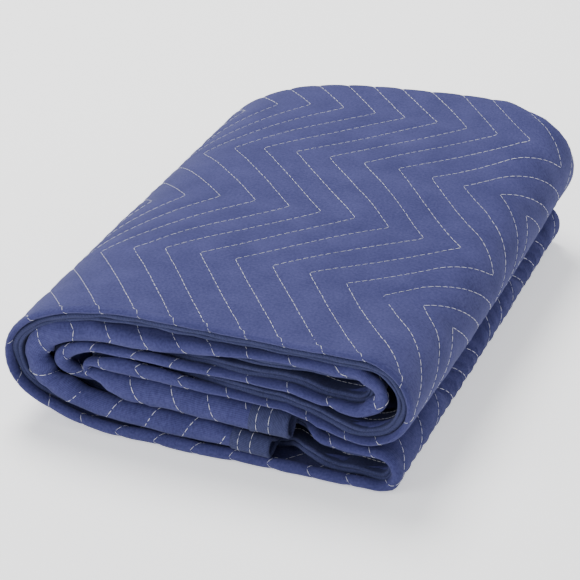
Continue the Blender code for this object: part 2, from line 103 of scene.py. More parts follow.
@dataclass
class FoldPath:
    """Path of the strip's middle through the bundle, in the XZ plane."""

    sizes: ClothSizes
    left_x: float = -0.040
    tab_x: float = 0.050
    fall_start_x: float = 0.055
    low_end_x: float = 0.0473
    inner_low_end_x: float = 0.0615
    right_inner_x: float = 0.105
    right_corner_x: float = 0.128
    right_corner_reach: float = 0.0130
    right_outer_x: float = 0.118
    samples: int = 240
    # run: (height at the left, height at the tabs, height at the right)
    levels: dict = field(default_factory=lambda: {
        "top": (0.1058, 0.1058, 0.1058),
        "third": (0.0901, 0.0921, 0.0921),
        "fifth": (0.0758, 0.0762, 0.0673),
        "seventh": (0.0626, 0.0597, 0.0447),
        "inner_low": (0.0494, 0.0459, 0.0459),
        "eighth": (0.0361, 0.0327, 0.0299),
        "low": (0.0219, 0.0192, 0.0192),
    })
    # turn: (reach to the left of its middle, fullness of its lower half and of its upper
    # half, X of its middle)
    turns: dict = field(default_factory=lambda: {
        "outer_turn": (0.1130, 2.35, 2.2, -0.040),
        "c_turn": (0.0695, 2.15, 2.1, -0.065),
        "d_turn": (0.0335, 2.0, 1.9, -0.079),
        "e_turn": (0.0067, 2.0, 2.0, -0.080),
    })

    def __post_init__(self) -> None:
        """Lay out the path, run by run."""
        half = self.sizes.strip_half
        self.levels["bottom"] = (half, half, half)
        points = []
        self.marks: dict[str, tuple[float, float]] = {}
        length = 0.0
        for name, run in self._runs():
            step = np.linalg.norm(np.diff(run, axis=0), axis=1).sum()
            self.marks[name] = (length, length + step)
            length += step
            points.append(run if not points else run[1:])
        self.points = np.vstack(points)
        steps = np.linalg.norm(np.diff(self.points, axis=0), axis=1)
        self.along = np.concatenate([[0.0], np.cumsum(steps)])
        heading = np.gradient(self.points, self.along, axis=0)
        self.heading = np.unwrap(np.arctan2(heading[:, 1], heading[:, 0]))
        self.length = float(self.along[-1])

    def _level(self, run: str, across: np.ndarray) -> np.ndarray:
        """Height of a run's middle at places in X."""
        left, tab, right = self.levels[run]
        right_x = self.right_inner_x if run == "fifth" else self.right_outer_x
        slow = (across - self.left_x) / (self.tab_x - self.left_x)
        fall = smooth((across - self.fall_start_x) / (right_x - self.fall_start_x))
        return left + (tab - left) * np.clip(slow, 0.0, 1.0) + (right - tab) * fall

    def _run(self, run: str, start: float, end: float) -> np.ndarray:
        """Points of a nearly level run between two places in X."""
        across = np.linspace(start, end, self.samples)
        return np.column_stack([across, self._level(run, across)])

    def _left(self, turn: str, first: str, second: str) -> np.ndarray:
        """Points of a turn at the left end, between two runs."""
        reach, low_fullness, high_fullness, middle_x = self.turns[turn]
        first_z, second_z = self.levels[first][0], self.levels[second][0]
        half = (first_z - second_z) / 2
        angle = np.linspace(0.0, math.pi, self.samples)
        cosine = np.cos(angle)
        power = 2 / np.where(half * cosine < 0.0, low_fullness, high_fullness)
        side = np.sign(cosine) * np.abs(cosine) ** power
        out = np.abs(np.sin(angle)) ** power
        height = (first_z + second_z) / 2 + half * side
        return np.column_stack([middle_x - reach * out, height])

    def _right(self, middle_x: float, reach: float, first: str, second: str) -> np.ndarray:
        """Points of a turn at the right end, between two runs."""
        first_z, second_z = self.levels[first][2], self.levels[second][2]
        angle = np.linspace(0.0, math.pi, self.samples)
        height = (first_z + second_z) / 2 + (first_z - second_z) / 2 * np.cos(angle)
        return np.column_stack([middle_x + reach * np.sin(angle), height])

    def _runs(self) -> list:
        """The runs and turns in order, each with its points."""
        right = {run: heights[2] for run, heights in self.levels.items()}
        c_x, d_x, e_x = (self.turns[turn][-1] for turn in ("c_turn", "d_turn", "e_turn"))
        inner_reach = (right["third"] - right["fifth"]) / 2
        outer_reach = (right["top"] - right["seventh"]) / 2
        return [
            ("low", self._run("low", self.low_end_x, c_x)),
            ("c_turn", self._left("c_turn", "low", "third")),
            ("third", self._run("third", c_x, self.right_inner_x)),
            ("inner_turn", self._right(self.right_inner_x, inner_reach, "third", "fifth")),
            ("fifth", self._run("fifth", self.right_inner_x, d_x)),
            ("d_turn", self._left("d_turn", "fifth", "eighth")),
            ("eighth", self._run("eighth", d_x, self.right_corner_x)),
            ("corner", self._right(self.right_corner_x, self.right_corner_reach,
                                   "eighth", "bottom")),
            ("bottom", self._run("bottom", self.right_corner_x, self.left_x)),
            ("outer_turn", self._left("outer_turn", "bottom", "top")),
            ("top", self._run("top", self.left_x, self.right_outer_x)),
            ("outer_fold", self._right(self.right_outer_x, outer_reach, "top", "seventh")),
            ("seventh", self._run("seventh", self.right_outer_x, e_x)),
            ("e_turn", self._left("e_turn", "seventh", "inner_low")),
            ("inner_low", self._run("inner_low", e_x, self.inner_low_end_x)),
        ]

    def share(self, run: str, share: float) -> float:
        """Length along the path at a share of a run."""
        start, end = self.marks[run]
        return start + (end - start) * share

    def held_x(self, u: np.ndarray) -> np.ndarray:
        """X of the path at lengths along it, held still past its ends."""
        return np.interp(u, self.along, self.points[:, 0])

    def at(self, u: np.ndarray) -> tuple[np.ndarray, np.ndarray, np.ndarray]:
        """Place and heading of the path.

        Args:
            u: Lengths along the path; past its ends it runs straight on.

        Returns:
            X, Z and heading at each length.
        """
        inside = np.clip(u, 0.0, self.length)
        heading = np.interp(inside, self.along, self.heading)
        over = u - inside
        across = np.interp(inside, self.along, self.points[:, 0]) + over * np.cos(heading)
        height = np.interp(inside, self.along, self.points[:, 1]) + over * np.sin(heading)
        return across, height, heading


@dataclass
class FrontShape:
    """How the front fold of the strip looks, along its path."""

    path: FoldPath
    step: float = 0.002
    blur: float = 0.010
    rows: tuple = (
        # run, share of the run, half height of the front roll, its offset, its setback,
        # setback of the bound edges
        ("low", 0.00, 0.0070, 0.0018, 0.000, 0.026),
        ("low", 0.35, 0.0080, 0.0008, 0.000, 0.026),
        ("low", 0.90, 0.0084, 0.0002, 0.000, 0.026),
        ("c_turn", 0.05, 0.0084, -0.0006, 0.001, 0.024),
        ("c_turn", 0.40, 0.0092, 0.0009, 0.001, 0.022),
        ("c_turn", 0.66, 0.0084, 0.0004, 0.000, 0.020),
        ("third", 0.02, 0.0057, -0.0034, 0.000, 0.018),
        ("third", 0.22, 0.0050, -0.0024, 0.000, 0.016),
        ("third", 0.40, 0.0035, 0.0010, 0.000, 0.012),
        ("third", 0.60, 0.0022, 0.0026, 0.000, 0.006),
        ("inner_turn", 0.30, 0.0040, 0.0036, 0.003, 0.013),
        ("inner_turn", 0.65, 0.0046, 0.0044, 0.003, 0.013),
        ("fifth", 0.10, 0.0026, 0.0030, 0.001, 0.010),
        ("fifth", 0.40, 0.0020, 0.0030, 0.000, 0.006),
        ("fifth", 0.75, 0.0030, 0.0014, 0.000, 0.012),
        ("fifth", 1.00, 0.0026, 0.0020, 0.001, 0.014),
        ("d_turn", 0.30, 0.0042, 0.0030, 0.002, 0.012),
        ("d_turn", 0.55, 0.0052, 0.0034, 0.003, 0.012),
        ("eighth", 0.08, 0.0019, 0.0031, 0.027, 0.031),
        ("eighth", 0.69, 0.0019, 0.0031, 0.027, 0.031),
        ("eighth", 0.78, 0.0027, 0.0028, 0.002, 0.011),
        ("corner", 0.50, 0.0029, 0.0023, 0.001, 0.010),
        ("bottom", 0.10, 0.0031, 0.0016, 0.001, 0.010),
        ("bottom", 0.34, 0.0032, 0.0017, 0.001, 0.012),
        ("bottom", 0.42, 0.0034, 0.0015, 0.001, 0.024),
        ("bottom", 1.00, 0.0040, 0.0009, 0.001, 0.022),
        ("outer_turn", 0.50, 0.0018, 0.0033, 0.000, 0.006),
        ("top", 0.00, 0.0013, 0.0038, 0.000, 0.005),
        ("top", 1.00, 0.0013, 0.0038, 0.000, 0.005),
        ("outer_fold", 0.50, 0.0017, 0.0034, 0.000, 0.005),
        ("seventh", 0.45, 0.0019, 0.0031, 0.000, 0.006),
        ("seventh", 0.75, 0.0042, 0.0012, 0.000, 0.013),
        ("seventh", 0.92, 0.0056, 0.0003, 0.000, 0.018),
        ("e_turn", 0.00, 0.0019, 0.0031, 0.002, 0.020),
        ("e_turn", 1.00, 0.0022, 0.0027, 0.002, 0.025),
        ("inner_low", 0.14, 0.0100, -0.0068, 0.000, 0.029),
        ("inner_low", 1.00, 0.0100, -0.0068, 0.000, 0.029),
    )

    def __post_init__(self) -> None:
        """Sample the table along the path and round off its corners."""
        places = np.array([self.path.share(row[0], row[1]) for row in self.rows])
        table = np.array([row[2:] for row in self.rows])
        self.places = np.arange(0.0, self.path.length + self.step, self.step)
        reach = int(self.blur / self.step)
        window = np.hanning(2 * reach + 3)[1:-1]
        window /= window.sum()
        columns = []
        for column in table.T:
            sampled = np.interp(self.places, places, column)
            padded = np.pad(sampled, reach, mode="edge")
            columns.append(np.convolve(padded, window, mode="valid"))
        self.columns = columns

    def at(self, u: np.ndarray) -> list[np.ndarray]:
        """Half height, offset and setback of the roll, and the setback of the edges."""
        return [np.interp(u, self.places, column) for column in self.columns]


@dataclass
class FoldedCloth:
    """The map from the flat cloth to its place in the bundle."""

    sizes: ClothSizes
    path: FoldPath
    front: FrontShape
    front_y: float = -0.2155
    front_skew: float = 0.06
    roll_depth: float = 0.85
    thin_roll: float = 0.0042
    thin_roll_depth: float = 0.0032
    flare_depth: float = 1.5
    flare_share: float = 0.25
    inner_loop: float = 0.35
    inner_back: float = 3.2
    back_start: float = 0.50
    back_reach: float = 0.44
    # across X, place of the back edge in Y
    back_edge: tuple = (
        (-0.160, 0.150), (-0.130, 0.173), (-0.100, 0.186), (-0.060, 0.195),
        (-0.020, 0.206), (0.040, 0.2160), (0.085, 0.2200), (0.111, 0.2080),
        (0.133, 0.1960), (0.156, 0.1900),
    )
    draw_in: float = 0.0070
    draw_start_x: float = 0.030
    draw_span_x: float = 0.085
    low_draw_in: float = 0.30
    low_draw_height: float = 0.060
    # depth behind the front, share of the sag of the bundle's right shoulder
    sag_depths: tuple = ((0.0, 0.0), (0.035, 0.30), (0.094, 1.0), (0.240, 1.0), (0.428, 0.0))
    sag: float = 0.085
    sag_start_x: float = 0.030
    sag_span_x: float = 0.090
    # run, share of the run, place of the quilting's front corners behind the front crease,
    # how much further along the strip they lie
    seam_drift: tuple = (
        ("low", 0.5, -0.004, 0.0), ("c_turn", 0.5, -0.010, 0.0), ("third", 0.3, -0.020, 0.0),
        ("third", 0.9, -0.018, 0.0), ("fifth", 0.5, -0.007, 0.0), ("d_turn", 0.5, -0.010, 0.0),
        ("eighth", 0.5, -0.018, 0.0), ("bottom", 0.5, -0.014, 0.0),
        ("outer_turn", 0.4, -0.014, 0.0), ("outer_turn", 0.75, -0.022, 0.0095),
        ("top", 0.5, -0.022, 0.0095), ("outer_fold", 0.3, -0.022, 0.0095),
        ("outer_fold", 0.9, -0.016, 0.0), ("seventh", 0.5, -0.016, 0.0),
        ("e_turn", 0.5, -0.020, 0.0), ("inner_low", 0.5, -0.026, 0.0),
    )
    # seam, counted from the top's left end; how far it has crept along the strip
    seam_creep: tuple = (
        (-16, 0.0), (-5, 0.0068), (-3, 0.0068), (-2, 0.0056), (-1, 0.0022), (0, 0.001),
        (1, 0.0), (6, 0.0), (7, -0.006), (8, -0.005), (12, 0.0),
    )
    # share by which a thin front roll's seams keep to its short way round
    thin_roll_squeeze: float = 0.58
    # run, share of the run, how far the front of a turn is pulled to the left
    turn_pulls: tuple = (
        ("third", 0.90, 0.0), ("inner_turn", 0.30, -0.008), ("inner_turn", 0.70, -0.008),
        ("fifth", 0.12, 0.0), ("fifth", 0.82, 0.0), ("d_turn", 0.20, 0.006),
        ("d_turn", 0.70, 0.006), ("eighth", 0.10, 0.0), ("seventh", 0.78, 0.0),
        ("seventh", 0.97, 0.009), ("e_turn", 0.30, 0.011), ("e_turn", 0.70, 0.011),
        ("inner_low", 0.06, 0.009), ("inner_low", 0.40, 0.0),
    )
    pull_depth: float = 0.055
    # place in X and lift of the slack bound edges beside the tabs, outer and inner tape
    slack_edges: tuple = (
        (0.040, 0.0000, 0.0000), (0.052, 0.0030, 0.0022), (0.0605, 0.0078, 0.0068),
        (0.067, 0.0096, 0.0088), (0.075, 0.0080, 0.0070), (0.087, 0.0035, 0.0026),
        (0.100, 0.0004, 0.0000), (0.112, 0.0014, 0.0008), (0.122, 0.0000, 0.0000),
    )
    slack_depth: float = 0.055

    def __post_init__(self) -> None:
        """Work out where each ply and fold starts, across the cloth."""
        pitch = self.sizes.ply_pitch
        depth = self.sizes.depth
        lengths = (
            ("third_ply", depth),
            ("inner_fold", math.pi * pitch / 2),
            ("second_ply", depth),
            ("front_fold", self.sizes.front_fold),
            ("first_ply", depth),
            ("outer_fold", math.pi * pitch * 1.5),
            ("fourth_ply", depth),
        )
        self.start: dict[str, float] = {}
        self.span: dict[str, float] = dict(lengths)
        width = 0.0
        for name, length in lengths:
            self.start[name] = width
            width += length
        self.width = width
        self.outer_back = depth - pitch * 1.5
        self.inner_back_depth = depth - pitch * self.inner_back
        self.stitch_origin = (self.path.marks["top"][0]
                              + self.sizes.stitch_pitch * self.sizes.stitch_phase)
        self.wrinkles = Wrinkles(self)

    def zigzag_row(self, v: np.ndarray) -> np.ndarray:
        """Places across the cloth, counted in rows of the zigzag's corners."""
        return (v - self.start["first_ply"] - self.sizes.first_row) / self.sizes.zigzag_half

    def zigzag(self, v: np.ndarray) -> np.ndarray:
        """How far a stitch line has moved along the strip, at places across the cloth."""
        fold = np.mod(self.zigzag_row(v), 2.0)
        return self.sizes.zigzag_reach * np.where(fold <= 1.0, fold, 2.0 - fold)

    def quilt_v(self, u: np.ndarray, v: np.ndarray) -> np.ndarray:
        """Where the even zigzag has the point that lies at a place on the uneven cloth."""
        behind, drift, _ = self._front_leg(u, v)
        depth = np.clip(v - self.start["first_ply"], 0.0, self.sizes.depth)
        near = np.clip(1.0 - behind / self.sizes.first_row, 0.0, 1.0)
        corner = self.sizes.first_row - self.sizes.zigzag_half
        return (self.start["first_ply"] + behind - self.back_shift(u, depth)
                - (drift - corner) * near)

    def _front_leg(self, u: np.ndarray, v: np.ndarray) -> tuple[np.ndarray, ...]:
        """Way behind the front crease, place of the front corners and their lean."""
        places = [self.path.share(row[0], row[1]) for row in self.seam_drift]
        drift = np.interp(u, places, [row[2] for row in self.seam_drift])
        lean = np.interp(u, places, [row[3] for row in self.seam_drift])
        behind = v - self.start["first_ply"]
        squeeze = self.thin_roll_squeeze * self._thinness(u)
        behind = behind + squeeze * np.clip(-behind, 0.0, self.sizes.front_fold)
        return behind, drift, lean

    def _thinness(self, u: np.ndarray) -> np.ndarray:
        """Share, 0 to 1, by which the front roll is a thin one."""
        return smooth((self.thin_roll - self.front.at(u)[0]) / (self.thin_roll / 2))

    def quilt_move(self, u: np.ndarray, v: np.ndarray) -> np.ndarray:
        """How far a seam has moved along the strip, at places on the uneven cloth."""
        behind, drift, lean = self._front_leg(u, v)
        first = self.sizes.first_row
        near = np.clip((first - behind) / (first - drift), 0.0, 1.0)
        return self.zigzag(self.quilt_v(u, v)) + lean * near

    def back_shift(self, u: np.ndarray, depth: np.ndarray) -> np.ndarray:
        """How far the rounded back of the bundle draws the cloth forward."""
        across = self.path.held_x(u)
        edge_x, edge_y = zip(*self.back_edge)
        front = self.front_y + self.front_skew * across
        shift = front + self.sizes.depth - np.interp(across, edge_x, edge_y)
        return shift * smooth((depth / self.sizes.depth - self.back_start) / self.back_reach)

    def seam_u(self, line: np.ndarray, v: np.ndarray,
               share: np.ndarray | float = 1.0) -> np.ndarray:
        """Length along the strip of a seam, at places across the cloth.

        Args:
            line: Length at which the seam's left corners lie.
            v: Places across the cloth.
            share: How much of the zigzag is followed.

        Returns:
            The lengths. Where the bundle's back is drawn forward, the zigzag is not.
        """
        even, crept = self._creep()
        line = np.interp(line, even, crept)
        u = line + self.zigzag(v) * share
        for _ in range(10):
            u = 0.5 * (u + line + self.quilt_move(u, v) * share)
        return u

    def _creep(self) -> tuple[np.ndarray, np.ndarray]:
        """Even places of the seams along the strip, and where they have crept to."""
        seam, creep = (np.array(column) for column in zip(*self.seam_creep))
        even = self.stitch_origin + seam * self.sizes.stitch_pitch
        even = np.concatenate([[even[0] - self.path.length], even,
                               [even[-1] + self.path.length]])
        return even, even + np.concatenate([[0.0], creep, [0.0]])

    def profile(self, u: np.ndarray, v: np.ndarray) -> tuple[np.ndarray, np.ndarray]:
        """Depth behind the front line and offset from the strip's middle.

        Args:
            u: Lengths along the strip.
            v: Places across the cloth.

        Returns:
            Depth and offset of each point.
        """
        pitch = self.sizes.ply_pitch
        half, offset, setback, edge = self.front.at(u)
        thin = self._thinness(u)
        roll = self.roll_depth * half + self.thin_roll_depth * thin
        flare = roll + self.flare_depth * half
        starts = [self.start[name] for name in self.start]
        piece = np.clip(np.searchsorted(starts, v, side="right") - 1, 0, len(starts) - 1)
        share = (v - np.array(starts)[piece]) / np.array(list(self.span.values()))[piece]
        depth = np.zeros_like(v)
        lift = np.zeros_like(v)

        chosen = piece == 0
        depth[chosen] = (edge + (self.inner_back_depth - edge) * share)[chosen]
        lift[chosen] = -pitch / 2
        chosen = piece == 1
        angle = math.pi * (share[chosen] - 0.5)
        fuller = pitch / 2 * (1.0 + self.inner_loop * np.cos(angle))
        depth[chosen] = self.inner_back_depth + np.cos(angle) * fuller
        lift[chosen] = np.sin(angle) * fuller
        chosen = piece == 2
        front = setback + flare
        depth[chosen] = (self.inner_back_depth
                         + (front - self.inner_back_depth) * share)[chosen]
        lift[chosen] = pitch / 2
        chosen = piece == 3
        rolled = self._front_roll(share, half, offset, setback, roll, flare)
        depth[chosen] = rolled[0][chosen]
        lift[chosen] = rolled[1][chosen]
        chosen = piece == 4
        depth[chosen] = (front + (self.outer_back - front) * share)[chosen]
        lift[chosen] = 1.5 * pitch
        chosen = piece == 5
        angle = math.pi * (0.5 - share[chosen])
        depth[chosen] = self.outer_back + 1.5 * pitch * np.cos(angle)
        lift[chosen] = 1.5 * pitch * np.sin(angle)
        chosen = piece == 6
        depth[chosen] = (self.outer_back + (edge - self.outer_back) * share)[chosen]
        lift[chosen] = -1.5 * pitch
        return depth, lift + self._slack(u, v)

    def _front_roll(self, share: np.ndarray, half: np.ndarray, offset: np.ndarray,
                    setback: np.ndarray, roll: np.ndarray,
                    flare: np.ndarray) -> tuple[np.ndarray, np.ndarray]:
        """Depth and offset of the rounded fold from the second ply to the first."""
        pitch = self.sizes.ply_pitch
        flat = np.minimum(share, 1.0 - share) / self.flare_share
        low_side = share < 0.5
        start = pitch * np.where(low_side, 0.5, 1.5)
        end = offset + np.where(low_side, -half, half)
        angle = math.pi * (share - 0.5) / (1.0 - 2 * self.flare_share)
        round_depth = setback + roll - roll * np.cos(angle)
        round_lift = offset + half * np.sin(angle)
        flat_depth = setback + flare + (roll - flare) * flat
        flat_lift = start + (end - start) * smooth(flat)
        is_flat = flat < 1.0
        return (np.where(is_flat, flat_depth, round_depth),
                np.where(is_flat, flat_lift, round_lift))

    def _slack(self, u: np.ndarray, v: np.ndarray) -> np.ndarray:
        """Lift of the slack bound edges that lie loose beside the tabs."""
        start, end = self.path.marks["bottom"]
        across, outer, inner = (np.array(column) for column in zip(*self.slack_edges))
        place_x = self.path.right_corner_x - (u - start)
        on_run = smooth((u - start) / 0.01) * (u < end)
        outer_near = 1.0 - smooth((self.width - v) / self.slack_depth)
        inner_near = 1.0 - smooth(v / self.slack_depth)
        lift = (np.interp(place_x, across, outer) * outer_near
                + np.interp(place_x, across, inner) * inner_near)
        return -lift * on_run

    def place(self, u: np.ndarray, v: np.ndarray, lift: np.ndarray | float = 0.0) -> np.ndarray:
        """Carry points of the flat cloth to their place in the bundle.

        Args:
            u: Lengths along the strip.
            v: Places across the cloth.
            lift: Height off the middle of the cloth, toward its outer face.

        Returns:
            One row of X, Y and Z for each point.
        """
        middle = self._middle(u, v)
        if np.ndim(lift) == 0 and lift == 0.0:
            return middle
        step = 0.0005
        along = self._middle(u + step, v) - self._middle(u - step, v)
        across = self._middle(u, v + step) - self._middle(u, v - step)
        normal = np.cross(along, across)
        normal /= np.maximum(np.linalg.norm(normal, axis=1, keepdims=True), 1e-12)
        return middle + normal * np.broadcast_to(lift, u.shape)[:, None]

    def _middle(self, u: np.ndarray, v: np.ndarray) -> np.ndarray:
        """Place of points on the middle of the cloth."""
        depth, offset = self.profile(u, v)
        depth_move, offset_move = self.wrinkles.at(u, v)
        return self.place_at(u, depth + depth_move, offset + offset_move)

    def place_at(self, u: np.ndarray, depth: np.ndarray, offset: np.ndarray) -> np.ndarray:
        """Points at lengths along the path, depths behind the front and offsets."""
        middle_x, middle_z, heading = self.path.at(u)
        across = middle_x - np.sin(heading) * offset
        height = middle_z + np.cos(heading) * offset
        clamped = self.path.held_x(u)
        front = self.front_y + self.front_skew * clamped
        shift = self.back_shift(u, depth)
        drawn = self.draw_in * smooth((clamped - self.draw_start_x) / self.draw_span_x)
        low = 1.0 - smooth(height / self.low_draw_height)
        across = across - drawn * (1.0 + self.low_draw_in * low) * depth / self.sizes.depth
        places = [self.path.share(run, share) for run, share, _ in self.turn_pulls]
        pull = np.interp(u, places, [row[2] for row in self.turn_pulls])
        across = across - pull * (1.0 - smooth(depth / self.pull_depth))
        behind, shares = zip(*self.sag_depths)
        sag = self.sag * smooth((across - self.sag_start_x) / self.sag_span_x)
        height = height * (1.0 - sag * np.interp(depth, behind, shares))
        return np.column_stack([across, front + depth - shift, height])

    def is_outside(self, u: np.ndarray) -> np.ndarray:
        """Share, 0 to 1, by which the strip's outer ply shows at lengths along it."""
        start = self.path.share("eighth", 0.62)
        end = self.path.share("seventh", 0.35)
        return smooth((u - start) / 0.02) * smooth((end - u) / 0.02)

    def thickness(self, u: np.ndarray, v: np.ndarray) -> np.ndarray:
        """Thickness of the cloth, thin at its seams and full between them."""
        sizes = self.sizes
        even, crept = self._creep()
        line = np.interp(u - self.quilt_move(u, v), crept, even)
        lines = (line - self.stitch_origin) / sizes.stitch_pitch
        away = np.abs(lines - np.round(lines)) * 2
        rise = np.sqrt(np.clip(1.0 - (1.0 - away) ** sizes.puff_power, 0.0, 1.0))
        outside = self.is_outside(u)
        full = sizes.inner_puff_thick + (sizes.puff_thick - sizes.inner_puff_thick) * outside
        behind = np.abs(v - self.start["first_ply"] + sizes.front_fold / 2)
        rim_near = 1.0 - smooth((behind - sizes.front_fold / 3) / (sizes.front_fold / 3))
        full = full + (sizes.rim_thick - full) * rim_near * self._thinness(u)
        quilted = sizes.valley_thick + (full - sizes.valley_thick) * rise
        rim = np.minimum(np.minimum(v, self.width - v), np.minimum(u, self.path.length - u))
        bound = smooth((rim - sizes.tape_wide - sizes.bound_gap) / sizes.bound_fade)
        return sizes.bound_thick + (quilted - sizes.bound_thick) * bound


@dataclass(frozen=True)
class Crease:
    """One soft ridge or trough in the cloth.

    Its place is a share of a run and a distance from the front crease of the outer ply.
    """

    run: str
    share: float
    behind: float
    turn: float
    long: float
    wide: float
    height: float

    def at(self, cloth: "FoldedCloth", u: np.ndarray, v: np.ndarray) -> np.ndarray:
        """Lift of the cloth at points of the flat cloth."""
        along_u = u - cloth.path.share(self.run, self.share)
        along_v = v - cloth.start["first_ply"] - self.behind
        turn = math.radians(self.turn)
        along = along_u * math.cos(turn) + along_v * math.sin(turn)
        aside = along_v * math.cos(turn) - along_u * math.sin(turn)
        aside = aside + 0.12 * along * along / self.long
        fade = np.clip(1.0 - (2 * along / self.long) ** 2, 0.0, 1.0) ** 2
        return self.height * fade * np.exp(-(aside / self.wide) ** 2)


class Wrinkles:
    """Small movements of the cloth off its even folds."""

    BROAD_LIFT = 0.00030
    ROLL_LIFT = 0.00024
    EDGE_LIFT = 0.00032
    ROLL_SWAY = 0.0007
    EDGE_SWAY = 0.0009
    # run, share, behind the front crease, turn in degrees (0: along the strip), length,
    # half width, height
    CREASES = (
        # the right shoulder, where the top starts to fall
        Crease("top", 0.86, 0.085, 62.0, 0.090, 0.0070, -0.0009),
        Crease("top", 0.93, 0.110, 58.0, 0.090, 0.0070, 0.0007),
        Crease("outer_fold", 0.08, 0.070, 75.0, 0.080, 0.0070, -0.0009),
        Crease("outer_fold", 0.18, 0.140, 68.0, 0.100, 0.0075, -0.0010),
        Crease("outer_fold", 0.30, 0.080, 84.0, 0.110, 0.0075, 0.0009),
        Crease("outer_fold", 0.10, 0.240, 70.0, 0.100, 0.0080, -0.0010),
        Crease("outer_fold", 0.20, 0.320, 64.0, 0.090, 0.0070, -0.0010),
        Crease("outer_fold", 0.05, 0.350, 50.0, 0.090, 0.0070, 0.0008),
        # the top's own soft unevenness
        Crease("top", 0.20, 0.060, 12.0, 0.140, 0.0170, -0.0008),
        Crease("top", 0.05, 0.032, 4.0, 0.120, 0.0150, -0.0009),
        Crease("top", 0.45, 0.200, 24.0, 0.180, 0.0190, 0.0008),
        Crease("top", 0.62, 0.130, 30.0, 0.140, 0.0160, -0.0008),
        Crease("top", 0.30, 0.330, 18.0, 0.170, 0.0180, -0.0008),
        Crease("top", 0.80, 0.300, 48.0, 0.130, 0.0130, -0.0008),
        # the left side under its upper edge
        Crease("outer_turn", 0.80, 0.090, 80.0, 0.120, 0.0100, -0.0010),
        Crease("outer_turn", 0.55, 0.160, 86.0, 0.140, 0.0090, 0.0010),
        Crease("outer_turn", 0.30, 0.080, 72.0, 0.110, 0.0080, -0.0010),
        Crease("outer_turn", 0.40, 0.300, 95.0, 0.120, 0.0080, -0.0011),
        # the open turn at the left, gathered toward its inner corner
        Crease("c_turn", 0.58, -0.024, 84.0, 0.034, 0.0030, -0.0026),
        Crease("c_turn", 0.51, -0.025, 78.0, 0.036, 0.0030, 0.0014),
        Crease("c_turn", 0.45, -0.022, 70.0, 0.044, 0.0032, -0.0030),
        Crease("c_turn", 0.38, -0.021, 60.0, 0.050, 0.0034, 0.0016),
        Crease("c_turn", 0.31, -0.019, 50.0, 0.056, 0.0036, -0.0028),
        Crease("c_turn", 0.20, -0.012, 34.0, 0.070, 0.0044, -0.0016),
        Crease("c_turn", 0.08, -0.018, 20.0, 0.060, 0.0040, 0.0013),
        # the pouch of the inner strip's front
        Crease("e_turn", 0.85, -0.016, 80.0, 0.026, 0.0030, -0.0020),
        Crease("inner_low", 0.10, -0.012, 64.0, 0.030, 0.0030, -0.0024),
        Crease("inner_low", 0.19, -0.009, 50.0, 0.028, 0.0030, -0.0018),
        Crease("inner_low", 0.27, -0.016, 110.0, 0.026, 0.0030, -0.0012),
        Crease("inner_low", 0.45, -0.014, 25.0, 0.060, 0.0030, 0.0007),
        Crease("inner_low", 0.80, -0.018, 80.0, 0.030, 0.0026, -0.0009),
        # the low strip beside its tab
        Crease("low", 0.28, -0.012, 60.0, 0.040, 0.0030, -0.0012),
        Crease("low", 0.42, -0.018, 140.0, 0.045, 0.0030, -0.0010),
        Crease("low", 0.70, -0.012, 160.0, 0.070, 0.0040, 0.0009),
        # the third strip's front roll
        Crease("third", 0.18, -0.010, 88.0, 0.024, 0.0026, -0.0007),
        Crease("third", 0.44, -0.012, 80.0, 0.024, 0.0030, -0.0007),
        Crease("third", 0.80, -0.010, 70.0, 0.026, 0.0026, -0.0007),
        # the crumpled turns at the right
        Crease("third", 0.95, -0.018, 76.0, 0.030, 0.0032, -0.0020),
        Crease("inner_turn", 0.20, -0.016, 95.0, 0.036, 0.0030, -0.0026),
        Crease("inner_turn", 0.48, -0.018, 84.0, 0.036, 0.0030, 0.0018),
        Crease("inner_turn", 0.74, -0.020, 74.0, 0.036, 0.0030, -0.0026),
        Crease("fifth", 0.06, -0.016, 66.0, 0.034, 0.0032, -0.0022),
        Crease("seventh", 0.30, -0.012, 75.0, 0.035, 0.0030, -0.0014),
        Crease("seventh", 0.16, -0.010, 100.0, 0.030, 0.0030, 0.0011),
        Crease("corner", 0.40, -0.010, 92.0, 0.040, 0.0032, -0.0014),
        Crease("corner", 0.75, -0.008, 84.0, 0.040, 0.0030, 0.0012),
        Crease("bottom", 0.12, -0.010, 70.0, 0.040, 0.0028, -0.0008),
    )

    def __init__(self, cloth: "FoldedCloth") -> None:
        """Seed the soft waves of the cloth, of its front rolls and of its bound edges."""
        self.cloth = cloth
        rng = np.random.default_rng(SEED)
        self.broad = self._waves(rng, 8, 0.045, 0.15, math.pi)
        self.rolls = self._waves(rng, 7, 0.016, 0.050, 0.9)
        self.sways = self._waves(rng, 6, 0.030, 0.120, 0.3)
        self.edges = self._waves(rng, 7, 0.018, 0.060, 0.2)

    @staticmethod
    def _waves(rng: np.random.Generator, count: int, short: float, long: float,
               turn: float) -> list[tuple[float, float, float]]:
        """Length, direction and phase of some waves."""
        return [(float(rng.uniform(short, long)), float(rng.uniform(-turn, turn)),
                 float(rng.uniform(0, math.tau))) for _ in range(count)]

    @staticmethod
    def _sum(waves: list, u: np.ndarray, v: np.ndarray) -> np.ndarray:
        """Height of the waves together, at most about 1."""
        total = np.zeros_like(u)
        for long, turn, phase in waves:
            total += np.sin((u * math.cos(turn) + v * math.sin(turn)) * math.tau / long + phase)
        return total / math.sqrt(2 * len(waves))

